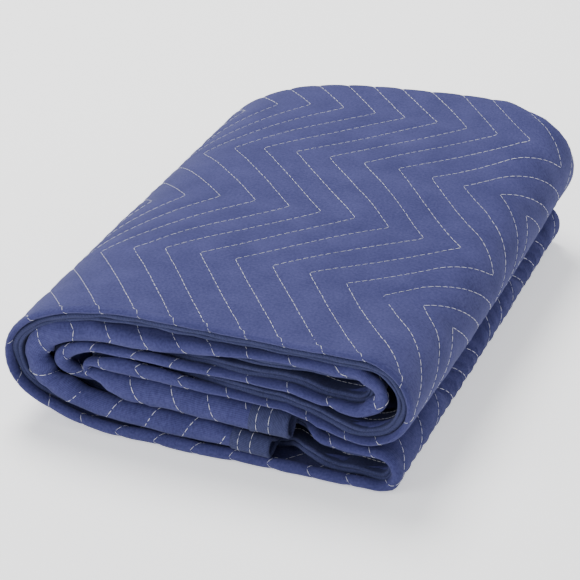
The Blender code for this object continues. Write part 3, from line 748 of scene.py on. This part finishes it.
    def at(self, u: np.ndarray, v: np.ndarray) -> tuple[np.ndarray, np.ndarray]:
        """Movement in depth and in offset at points of the flat cloth."""
        cloth = self.cloth
        outside = cloth.is_outside(u)
        roll_middle = cloth.start["first_ply"] - cloth.sizes.front_fold / 2
        near_front = 1.0 - smooth((np.abs(v - roll_middle) - 0.012) / 0.030)
        near_edge = 1.0 - smooth(np.minimum(v, cloth.width - v) / 0.050)
        offset = (self.BROAD_LIFT * outside * self._sum(self.broad, u, v)
                  + self.ROLL_LIFT * near_front * self._sum(self.rolls, u, v)
                  + self.EDGE_LIFT * near_edge * self._sum(self.edges, u, v))
        depth = (self.ROLL_SWAY * near_front * self._sum(self.sways, u, v)
                 + self.EDGE_SWAY * near_edge * self._sum(self.edges, u + 0.3, v))
        for crease in self.CREASES:
            offset += crease.at(cloth, u, v)
        return depth, offset


class Finish(Enum):
    """Finishes of the blanket."""

    CLOTH = "cloth"
    TAPE = "tape"
    THREAD = "thread"


def node_link(tree: bpy.types.NodeTree, kind: str, links: dict | None = None,
              **settings: object) -> bpy.types.Node:
    """Add a node to a tree.

    Args:
        tree: The material's node tree.
        kind: The node's type name.
        links: Input name or index to the output socket that feeds it.
        **settings: Properties of the node, or values of its inputs.

    Returns:
        The new node.
    """
    node = tree.nodes.new(kind)
    for name, value in settings.items():
        if hasattr(node, name):
            setattr(node, name, value)
        else:
            node.inputs[name.replace("_", " ").title()].default_value = value
    for name, socket in (links or {}).items():
        tree.links.new(socket, node.inputs[name])
    return node


@dataclass(frozen=True)
class WovenFinish:
    """A woven cloth finish on the cloth's own measures."""

    name: str
    dark: tuple
    light: tuple
    thread_size: float
    twill: bool
    roughness: float
    sheen: float
    bump: float

    def make(self) -> bpy.types.Material:
        """Make the material."""
        material = bpy.data.materials.new(self.name)
        material.use_nodes = True
        tree = material.node_tree
        shader = tree.nodes["Principled BSDF"]
        flat = tree.nodes.new("ShaderNodeUVMap")
        flat.uv_map = "flat"
        turned = node_link(tree, "ShaderNodeMapping", {"Vector": flat.outputs["UV"]})
        slant = math.radians(27 if self.twill else 0)
        turned.inputs["Rotation"].default_value = (0.0, 0.0, slant)
        warp = self._threads(tree, turned.outputs["Vector"], "X")
        weft = self._threads(tree, turned.outputs["Vector"], "Y")
        weave = node_link(tree, "ShaderNodeMath", {0: warp.outputs["Fac"], 1: weft.outputs["Fac"]},
                          operation="MULTIPLY")
        slub = self._noise(tree, flat.outputs["UV"], 520.0, 4.0)
        patch = self._noise(tree, flat.outputs["UV"], 38.0, 4.0)
        surface = node_link(tree, "ShaderNodeMix", {2: weave.outputs[0], 3: slub.outputs["Fac"]},
                            data_type="FLOAT")
        surface.inputs[0].default_value = 0.70
        shade = node_link(tree, "ShaderNodeMix",
                          {2: surface.outputs[0], 3: patch.outputs["Fac"]}, data_type="FLOAT")
        shade.inputs[0].default_value = 0.30
        ramp = node_link(tree, "ShaderNodeValToRGB", {"Fac": shade.outputs[0]})
        ramp.color_ramp.elements[0].position = 0.32
        ramp.color_ramp.elements[0].color = self.dark
        ramp.color_ramp.elements[1].position = 0.68
        ramp.color_ramp.elements[1].color = self.light
        bump = node_link(tree, "ShaderNodeBump", {"Height": surface.outputs[0]})
        bump.inputs["Strength"].default_value = self.bump
        bump.inputs["Distance"].default_value = 0.0004
        tree.links.new(ramp.outputs["Color"], shader.inputs["Base Color"])
        tree.links.new(bump.outputs["Normal"], shader.inputs["Normal"])
        shader.inputs["Roughness"].default_value = self.roughness
        shader.inputs["Sheen Weight"].default_value = self.sheen
        shader.inputs["Sheen Roughness"].default_value = 0.45
        shader.inputs["Sheen Tint"].default_value = (0.72, 0.78, 1.0, 1.0)
        shader.inputs["Specular IOR Level"].default_value = 0.2
        return material

    def _threads(self, tree: bpy.types.NodeTree, vector: bpy.types.NodeSocket,
                 direction: str) -> bpy.types.Node:
        """Rows of threads in one direction of the weave."""
        wave = node_link(tree, "ShaderNodeTexWave", {"Vector": vector})
        wave.wave_type = "BANDS"
        wave.bands_direction = direction
        wave.wave_profile = "SIN"
        # a wave texture of scale 1 has a band every pi / 10
        wave.inputs["Scale"].default_value = math.pi / 10 / self.thread_size
        wave.inputs["Distortion"].default_value = 0.6
        wave.inputs["Detail"].default_value = 1.0
        return wave

    @staticmethod
    def _noise(tree: bpy.types.NodeTree, vector: bpy.types.NodeSocket, scale: float,
               detail: float) -> bpy.types.Node:
        """A soft noise over the cloth."""
        noise = node_link(tree, "ShaderNodeTexNoise", {"Vector": vector})
        noise.inputs["Scale"].default_value = scale
        noise.inputs["Detail"].default_value = detail
        return noise


@dataclass(frozen=True)
class ThreadFinish:
    """The off-white sewing thread."""

    name: str = "thread"
    colour: tuple = (0.74, 0.75, 0.85, 1.0)

    def make(self) -> bpy.types.Material:
        """Make the material."""
        material = bpy.data.materials.new(self.name)
        material.use_nodes = True
        tree = material.node_tree
        shader = tree.nodes["Principled BSDF"]
        place = tree.nodes.new("ShaderNodeTexCoord")
        noise = node_link(tree, "ShaderNodeTexNoise", {"Vector": place.outputs["Object"]})
        noise.inputs["Scale"].default_value = 900.0
        ramp = node_link(tree, "ShaderNodeValToRGB", {"Fac": noise.outputs["Fac"]})
        ramp.color_ramp.elements[0].position = 0.3
        ramp.color_ramp.elements[0].color = (0.62, 0.62, 0.72, 1.0)
        ramp.color_ramp.elements[1].position = 0.6
        ramp.color_ramp.elements[1].color = self.colour
        tree.links.new(ramp.outputs["Color"], shader.inputs["Base Color"])
        shader.inputs["Roughness"].default_value = 0.65
        shader.inputs["Sheen Weight"].default_value = 0.2
        return material


class Wardrobe:
    """The blanket's finishes, made once."""

    def __init__(self) -> None:
        """Make every finish."""
        cloth = WovenFinish("cloth", (0.028, 0.030, 0.104, 1.0), (0.068, 0.070, 0.200, 1.0),
                            0.0007, False, 0.95, 0.05, 0.35)
        tape = WovenFinish("tape", (0.024, 0.028, 0.076, 1.0), (0.051, 0.056, 0.138, 1.0),
                           0.0010, True, 0.9, 0.05, 0.5)
        self.materials = {
            Finish.CLOTH: cloth.make(),
            Finish.TAPE: tape.make(),
            Finish.THREAD: ThreadFinish().make(),
        }

    def dress(self, thing: bpy.types.Object, finish: Finish) -> None:
        """Give an object its finish."""
        thing.data.materials.clear()
        thing.data.materials.append(self.materials[finish])


def flat_mesh(name: str, columns: np.ndarray, rows: np.ndarray) -> bpy.types.Mesh:
    """A flat grid with its columns and rows at given places, with its flat UV map.

    Args:
        name: Name of the mesh.
        columns: Places of the columns.
        rows: Places of the rows.

    Returns:
        The mesh, still flat, with column place in X and row place in Y.
    """
    grid = bmesh.new()
    bmesh.ops.create_grid(grid, x_segments=len(columns) - 1, y_segments=len(rows) - 1,
                          size=0.5)
    mesh = bpy.data.meshes.new(name)
    grid.to_mesh(mesh)
    grid.free()
    flat = read_points(mesh)
    column = np.rint((flat[:, 0] + 0.5) * (len(columns) - 1)).astype(int)
    row = np.rint((flat[:, 1] + 0.5) * (len(rows) - 1)).astype(int)
    flat[:, 0] = np.asarray(columns)[column]
    flat[:, 1] = np.asarray(rows)[row]
    write_points(mesh, flat)
    return mesh


def read_points(mesh: bpy.types.Mesh) -> np.ndarray:
    """Places of a mesh's vertices, a row each."""
    points = np.empty(len(mesh.vertices) * 3, dtype=np.float32)
    mesh.vertices.foreach_get("co", points)
    return points.reshape(-1, 3).astype(float)


def write_points(mesh: bpy.types.Mesh, points: np.ndarray) -> None:
    """Move a mesh's vertices."""
    mesh.vertices.foreach_set("co", points.astype(np.float32).ravel())
    mesh.update()


def write_flat_uv(mesh: bpy.types.Mesh, flat: np.ndarray) -> None:
    """Store the flat places of the vertices as the UV map that the weave reads."""
    layer = mesh.uv_layers.new(name="flat")
    corner = np.empty(len(mesh.loops), dtype=np.int32)
    mesh.loops.foreach_get("vertex_index", corner)
    layer.data.foreach_set("uv", flat[corner, :2].astype(np.float32).ravel())


def finish_object(name: str, mesh: bpy.types.Mesh) -> bpy.types.Object:
    """Put a mesh in the scene as a smooth object."""
    mesh.shade_smooth()
    mesh.set_sharp_from_angle(angle=SHARP_ANGLE)
    thing = bpy.data.objects.new(name, mesh)
    bpy.context.scene.collection.objects.link(thing)
    return thing


def thicken(thing: bpy.types.Object, thickness: float, group: str = "") -> None:
    """Give a sheet its thickness, half to each side."""
    solidify = thing.modifiers.new("thickness", "SOLIDIFY")
    solidify.thickness = thickness
    solidify.offset = 0.0
    solidify.use_quality_normals = True
    solidify.vertex_group = group


@dataclass
class QuiltedPanel:
    """The quilted cloth itself."""

    cloth: FoldedCloth
    # places of the mesh's columns between two seams, as shares of the seam's pitch
    seam_shares: tuple = (0.0, 0.10, 0.28, 0.50, 0.72, 0.90)
    ply_step: float = 0.0132
    hidden_step: float = 0.07
    edge_rows: tuple = (0.0, 0.010, 0.020, 0.029, 0.036, 0.060)
    turn_step: float = math.radians(15)

    def build(self) -> bpy.types.Object:
        """Make the panel."""
        columns = self._columns()
        rows = self.rows()
        mesh = flat_mesh("blanket_quilted_panel", columns, rows)
        flat = read_points(mesh)
        flat[:, 0], flat[:, 1] = self._follow_seams(flat[:, 0], flat[:, 1])
        write_flat_uv(mesh, flat)
        thickness = self.cloth.thickness(flat[:, 0], flat[:, 1])
        write_points(mesh, self.cloth.place(flat[:, 0], flat[:, 1]))
        panel = finish_object("blanket_quilted_panel", mesh)
        group = panel.vertex_groups.new(name="puff")
        full = self.cloth.sizes.puff_thick
        for index, value in enumerate(thickness / full):
            group.add([index], float(value), "REPLACE")
        thicken(panel, full, "puff")
        return panel

    def _columns(self) -> np.ndarray:
        """Places of the columns, on the seams and between them."""
        sizes = self.cloth.sizes
        length = self.cloth.path.length
        pitch = sizes.stitch_pitch
        first = math.floor(-self.cloth.stitch_origin / pitch) - 4
        last = math.ceil((length - self.cloth.stitch_origin) / pitch)
        seams = [self.cloth.stitch_origin + pitch * (count + share)
                 for count in range(first, last) for share in self.seam_shares]
        places = [0.0]
        reach = sizes.zigzag_reach
        for place in seams:
            if place <= 0.002 or place >= length - 0.002:
                continue
            self._fill(places, place, reach)
        places.append(length)
        return np.array(places)

    def _fill(self, places: list, place: float, reach: float) -> None:
        """Add a column, and more before it where the path turns sharply."""
        path = self.cloth.path
        spots = np.linspace(0.0, reach, 9)
        before = np.interp(places[-1] + spots, path.along, path.heading)
        after = np.interp(place + spots, path.along, path.heading)
        count = max(1, math.ceil(float(np.abs(after - before).max()) / self.turn_step))
        start = places[-1]
        for step in range(1, count + 1):
            places.append(start + (place - start) * step / count)

    def rows(self) -> np.ndarray:
        """Places of the rows, close together where the cloth shows or folds."""
        cloth = self.cloth
        start, span = cloth.start, cloth.span
        rows = list(self.edge_rows)
        rows += list(np.arange(0.12, cloth.sizes.depth - 0.03, self.hidden_step))
        rows += [start["inner_fold"] + span["inner_fold"] * step / 5 for step in range(6)]
        second = start["second_ply"]
        rows += list(np.arange(second + 0.06, second + cloth.sizes.depth - 0.06,
                               self.hidden_step))
        rows += [start["front_fold"] - back for back in (0.030, 0.012)]
        rows += [start["front_fold"] + span["front_fold"] * step / 12 for step in range(13)]
        seams = [start["first_ply"] + cloth.sizes.first_row + cloth.sizes.zigzag_half * count
                 for count in range(-1, 4)] + [start["outer_fold"]]
        for low, high in zip(seams, seams[1:]):
            count = max(1, round((high - low) / self.ply_step))
            rows += [low + (high - low) * step / count for step in range(1, count + 1)]
        rows += [start["outer_fold"] + span["outer_fold"] * step / 8 for step in range(1, 9)]
        fourth = start["fourth_ply"]
        rows += list(np.arange(fourth + 0.05, cloth.width - 0.10, self.hidden_step))
        rows += [cloth.width - place for place in self.edge_rows]
        return np.unique(np.round(np.array(rows), 6))

    def _follow_seams(self, column: np.ndarray,
                      row: np.ndarray) -> tuple[np.ndarray, np.ndarray]:
        """Bend the columns to the zigzag of the seams and the rows to its corners.

        The columns fade to straight lines at the strip's ends, and the rows at the folds.
        """
        cloth = self.cloth
        length = cloth.path.length
        reach = cloth.sizes.zigzag_reach
        fade = smooth(column / (1.6 * reach)) * smooth((length - column) / (1.6 * reach))
        behind = row - cloth.start["first_ply"]
        last_corner = cloth.sizes.first_row + 3 * cloth.sizes.zigzag_half
        follow = np.clip((cloth.sizes.depth - behind) / (cloth.sizes.depth - last_corner), 0.0, 1.0)
        follow = np.where((behind > 0.0) & (behind < cloth.sizes.depth), follow, 0.0)
        u, v = column, row
        for _ in range(6):
            u = cloth.seam_u(column, v, fade)
            depth = np.clip(v - cloth.start["first_ply"], 0.0, cloth.sizes.depth)
            v = 0.5 * (v + row + cloth.back_shift(u, depth) * follow)
        return cloth.seam_u(column, v, fade), v


@dataclass
class SideBinding:
    """Tape folded over one long edge of the cloth."""

    cloth: FoldedCloth
    name: str
    at_start: bool
    step: float = 0.004

    def build(self) -> bpy.types.Object:
        """Make the tape."""
        sizes = self.cloth.sizes
        section = tape_section(sizes, sizes.inner_bulb if self.at_start else sizes.outer_bulb)
        count = math.ceil(self.cloth.path.length / self.step)
        columns = np.linspace(0.0, self.cloth.path.length, count + 1)
        mesh = flat_mesh(self.name, columns, np.arange(len(section)))
        flat = read_points(mesh)
        reach, lift = section[np.rint(flat[:, 1]).astype(int)].T
        u = flat[:, 0]
        write_flat_uv(mesh, np.column_stack([u, reach * np.sign(lift + 1e-9)]))
        inside = np.maximum(reach, 0.0)
        v = inside if self.at_start else self.cloth.width - inside
        points = self.cloth.place(u, v, lift)
        points[:, 1] += np.minimum(reach, 0.0)
        write_points(mesh, points)
        tape = finish_object(self.name, mesh)
        thicken(tape, sizes.tape_thick)
        return tape


@dataclass
class EndBinding:
    """Tape folded over one short end of the cloth, through all four plies."""

    cloth: FoldedCloth
    name: str
    at_start: bool

    def build(self) -> bpy.types.Object:
        """Make the tape."""
        sizes = self.cloth.sizes
        section = tape_section(sizes, sizes.outer_bulb)
        margin = sizes.tape_wide + 2 * sizes.tape_gap
        rows = [row for row in QuiltedPanel(self.cloth).rows()
                if margin < row < self.cloth.width - margin]
        rows = np.array([margin, *rows, self.cloth.width - margin])
        mesh = flat_mesh(self.name, np.arange(len(section)), rows)
        flat = read_points(mesh)
        reach, lift = section[np.rint(flat[:, 0]).astype(int)].T
        u = reach if self.at_start else self.cloth.path.length - reach
        write_flat_uv(mesh, np.column_stack([flat[:, 1], reach]))
        write_points(mesh, self.cloth.place(u, flat[:, 1], lift))
        if self.at_start:
            mesh.flip_normals()
        tape = finish_object(self.name, mesh)
        thicken(tape, sizes.tape_thick)
        return tape


def tape_section(sizes: ClothSizes, bulb: float) -> np.ndarray:
    """Reach in from the cloth's edge and lift from its middle, round the folded tape."""
    flats = [sizes.tape_wide, 0.022, 0.016, 0.010, 0.006]
    turns = [math.radians(angle) for angle in (0, 25, 50, 70, 90, 110, 130, 155, 180)]
    rows = [(reach, sizes.tape_offset) for reach in flats]
    rows += [(-1.1 * bulb * math.sin(turn), bulb * math.cos(turn)) for turn in turns]
    rows += [(reach, -sizes.tape_offset) for reach in reversed(flats)]
    return np.array(rows)


@dataclass
class Sewing:
    """Rows of stitches, each a small bead of thread laid on the cloth."""

    cloth: FoldedCloth
    name: str
    thread: float
    sides: int
    rings: int
    stitches: list = field(default_factory=list)

    def add(self, u: float, v: float, along: tuple[float, float], long: float,
            lift: float) -> None:
        """Add one stitch.

        Args:
            u: Length along the strip of the stitch's middle.
            v: Place across the cloth of the stitch's middle.
            along: Direction of the stitch on the flat cloth.
            long: Length of the stitch.
            lift: Height of its middle off the middle of the cloth.
        """
        self.stitches.append((u, v, along[0], along[1], long, lift))

    def build(self) -> bpy.types.Object:
        """Make all the stitches as one object."""
        bead = bmesh.new()
        bmesh.ops.create_uvsphere(bead, u_segments=self.sides, v_segments=self.rings,
                                  radius=1.0)
        template = bpy.data.meshes.new(self.name + "_bead")
        bead.to_mesh(template)
        bead.free()
        row = bmesh.new()
        for _ in self.stitches:
            row.from_mesh(template)
        mesh = bpy.data.meshes.new(self.name)
        row.to_mesh(mesh)
        row.free()
        local = read_points(template)
        bpy.data.meshes.remove(template)
        table = np.array(self.stitches)
        per = len(local)
        u0, v0, du, dv, long, lift = (np.repeat(column, per) for column in table.T)
        size = np.hypot(du, dv)
        du, dv = du / size, dv / size
        bead_z, bead_x, bead_y = (np.tile(local[:, axis], len(table)) for axis in (0, 1, 2))
        forward = bead_y * long / 2
        aside = bead_x * self.thread / 2
        up = lift + bead_z * self.thread / 2 - 0.35 * self.thread * bead_y ** 2
        u = u0 + du * forward - dv * aside
        v = v0 + dv * forward + du * aside
        write_points(mesh, self.cloth.place(u, v, up))
        return finish_object(self.name, mesh)


@dataclass
class QuiltSeams:
    """The zigzag seams of the quilting."""

    cloth: FoldedCloth
    pitch: float = 0.0060
    long: float = 0.0053
    thread: float = 0.00031
    front_reach: float = 0.032
    back_reach: float = 0.018
    sample: float = 0.0008

    def build(self) -> bpy.types.Object:
        """Make the stitches that show."""
        cloth = self.cloth
        sizes = cloth.sizes
        sewing = Sewing(cloth, "quilting_seams", self.thread, 6, 4)
        rng = np.random.default_rng(SEED + 1)
        start = cloth.start["front_fold"] - self.front_reach
        end = cloth.start["fourth_ply"] + self.back_reach
        v = np.arange(start, end, self.sample)
        first = math.floor(-(cloth.stitch_origin + sizes.zigzag_reach) / sizes.stitch_pitch)
        last = math.ceil((cloth.path.length - cloth.stitch_origin) / sizes.stitch_pitch)
        for count in range(first, last + 1):
            line = cloth.stitch_origin + count * sizes.stitch_pitch
            u = cloth.seam_u(np.full_like(v, line), v)
            legs = np.floor(cloth.zigzag_row(cloth.quilt_v(u, v)))
            turns = np.flatnonzero(np.diff(legs)) + 1
            for low, high in zip([0, *turns], [*turns, len(v)]):
                self._sew(sewing, u[low:high + 1], v[low:high + 1], rng)
        return sewing.build()

    def _sew(self, sewing: Sewing, u: np.ndarray, v: np.ndarray,
             rng: np.random.Generator) -> None:
        """Add the stitches that show on one leg of a seam, whose points are u and v."""
        cloth = self.cloth
        sizes = cloth.sizes
        steps = np.linalg.norm(np.diff(cloth.place(u, v), axis=0), axis=1)
        along = np.concatenate([[0.0], np.cumsum(steps)])
        margin = sizes.tape_wide + 0.003
        lift = sizes.valley_thick / 2 + self.thread * 0.70
        count = max(1, round(float(along[-1]) / self.pitch))
        ends = np.linspace(0.0, along[-1], count + 1)
        end_u, end_v = np.interp(ends, along, u), np.interp(ends, along, v)
        for step in range(count):
            mid_u = (end_u[step] + end_u[step + 1]) / 2
            mid_v = (end_v[step] + end_v[step + 1]) / 2
            if not margin < mid_u < cloth.path.length - margin or not self._shows(mid_u, mid_v):
                continue
            go_u, go_v = end_u[step + 1] - end_u[step], end_v[step + 1] - end_v[step]
            share = self.long / self.pitch * rng.uniform(0.94, 1.06)
            sewing.add(mid_u + rng.uniform(-0.00015, 0.00015), mid_v, (go_u, go_v),
                       math.hypot(go_u, go_v) * share, lift)

    def _shows(self, u: float, v: float) -> bool:
        """Whether a place on the cloth can be seen from any side."""
        cloth = self.cloth
        outside = float(cloth.is_outside(np.array([u]))[0]) > 0.02
        near_front = v < cloth.start["first_ply"] + self.front_reach
        return outside or near_front or v > cloth.start["outer_fold"] - self.back_reach


@dataclass
class TapeSeams:
    """Two rows of stitches along each tape, on both its faces."""

    cloth: FoldedCloth
    pitch: float = 0.0038
    long: float = 0.0037
    thread: float = 0.00036
    rows: tuple = (0.0125, 0.0220)

    def build(self) -> bpy.types.Object:
        """Make the stitches of all four tapes."""
        cloth = self.cloth
        sizes = cloth.sizes
        sewing = Sewing(cloth, "binding_seams", self.thread, 5, 3)
        lift = sizes.tape_offset + sizes.tape_thick / 2 + self.thread * 0.35
        length, width = cloth.path.length, cloth.width
        margin = sizes.tape_wide + 0.002
        for row in self.rows:
            for u in np.arange(0.004, length - 0.003, self.pitch):
                for v in (row, width - row):
                    for side in (lift, -lift):
                        sewing.add(u, v, (1.0, 0.0), self.long, side)
            for v in np.arange(margin, width - margin, self.pitch):
                for u in (row, length - row):
                    for side in (lift, -lift):
                        sewing.add(u, v, (0.0, 1.0), self.long, side)
        return sewing.build()


@dataclass
class Studio:
    """Floor, lights, backdrop colour and camera."""

    place: tuple = (0.5817, -1.3975, 0.9152)
    target: tuple = (0.0367, -0.1470, 0.1132)
    lens: float = 136.6
    floor_size: float = 14.0
    floor_colour: tuple = (0.95, 0.95, 0.955, 1.0)
    floor_glow: float = 0.6

    def build(self) -> None:
        """Set up the studio."""
        self._floor()
        self._world()
        # name, place, target, size, power, colour
        lights = (
            ("key", (-0.8, 0.7, 2.3), (0.0, 0.0, 0.05), 1.4, 82.0, (1.0, 0.99, 0.97)),
            ("front", (-1.4, -2.0, 1.1), (0.0, 0.0, 0.05), 1.8, 32.0, (0.97, 0.98, 1.0)),
            ("right", (2.2, 0.2, 1.2), (0.0, 0.0, 0.05), 1.6, 8.0, (0.98, 0.99, 1.0)),
        )
        for name, place, target, size, power, colour in lights:
            lamp = bpy.data.lights.new(name, "AREA")
            lamp.shape = "DISK"
            lamp.size = size
            lamp.energy = power
            lamp.color = colour
            self._aim(bpy.data.objects.new(name, lamp), place, target)
        camera = bpy.data.cameras.new("camera")
        camera.lens = self.lens
        camera.clip_end = 60.0
        viewer = bpy.data.objects.new("camera", camera)
        self._aim(viewer, self.place, self.target)
        bpy.context.scene.camera = viewer

    def _floor(self) -> None:
        """A plain pale floor."""
        grid = bmesh.new()
        bmesh.ops.create_grid(grid, x_segments=4, y_segments=4, size=self.floor_size / 2)
        mesh = bpy.data.meshes.new("floor")
        grid.to_mesh(mesh)
        grid.free()
        floor = bpy.data.objects.new("floor", mesh)
        bpy.context.scene.collection.objects.link(floor)
        material = bpy.data.materials.new("floor")
        material.use_nodes = True
        shader = material.node_tree.nodes["Principled BSDF"]
        shader.inputs["Base Color"].default_value = self.floor_colour
        shader.inputs["Roughness"].default_value = 0.9
        shader.inputs["Emission Color"].default_value = (1.0, 1.0, 1.0, 1.0)
        shader.inputs["Emission Strength"].default_value = self.floor_glow
        mesh.materials.append(material)

    @staticmethod
    def _world() -> None:
        """A soft white surround."""
        world = bpy.data.worlds.new("studio")
        world.use_nodes = True
        background = world.node_tree.nodes["Background"]
        background.inputs["Color"].default_value = (0.95, 0.97, 1.0, 1.0)
        background.inputs["Strength"].default_value = 0.66
        bpy.context.scene.world = world

    @staticmethod
    def _aim(thing: bpy.types.Object, place: tuple, target: tuple) -> None:
        """Put a light or camera somewhere and point it at a target."""
        thing.location = place
        toward = Vector(target) - Vector(place)
        thing.rotation_euler = toward.to_track_quat("-Z", "Y").to_euler()
        bpy.context.scene.collection.objects.link(thing)


def main() -> None:
    """Build the blanket piece by piece, hide the model's parts that the pieces stand for, and set
    up the studio.
    """
    logging.basicConfig(level=logging.INFO, format="%(message)s")
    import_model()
    sizes = ClothSizes()
    path = FoldPath(sizes)
    cloth = FoldedCloth(sizes, path, FrontShape(path))
    wardrobe = Wardrobe()
    panel = QuiltedPanel(cloth).build()
    bindings = [
        SideBinding(cloth, "side_tape_inner", True).build(),
        SideBinding(cloth, "side_tape_outer", False).build(),
        EndBinding(cloth, "end_tape_low", True).build(),
        EndBinding(cloth, "end_tape_high", False).build(),
    ]
    nodes = ("side_binding_inner", "side_binding_outer", "end_binding_low",
             "end_binding_high")
    seams = [QuiltSeams(cloth).build(), TapeSeams(cloth).build()]
    wardrobe.dress(panel, Finish.CLOTH)
    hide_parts("quilted_panel")
    for tape, node in zip(bindings, nodes):
        wardrobe.dress(tape, Finish.TAPE)
        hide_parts(node)
    for seam in seams:
        wardrobe.dress(seam, Finish.THREAD)
    for piece in (panel, *bindings, *seams):
        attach(piece, "root")
        LOG.info("%s: %d faces", piece.name, len(piece.data.polygons))
    Studio().build()


if __name__ == "__main__":
    main()
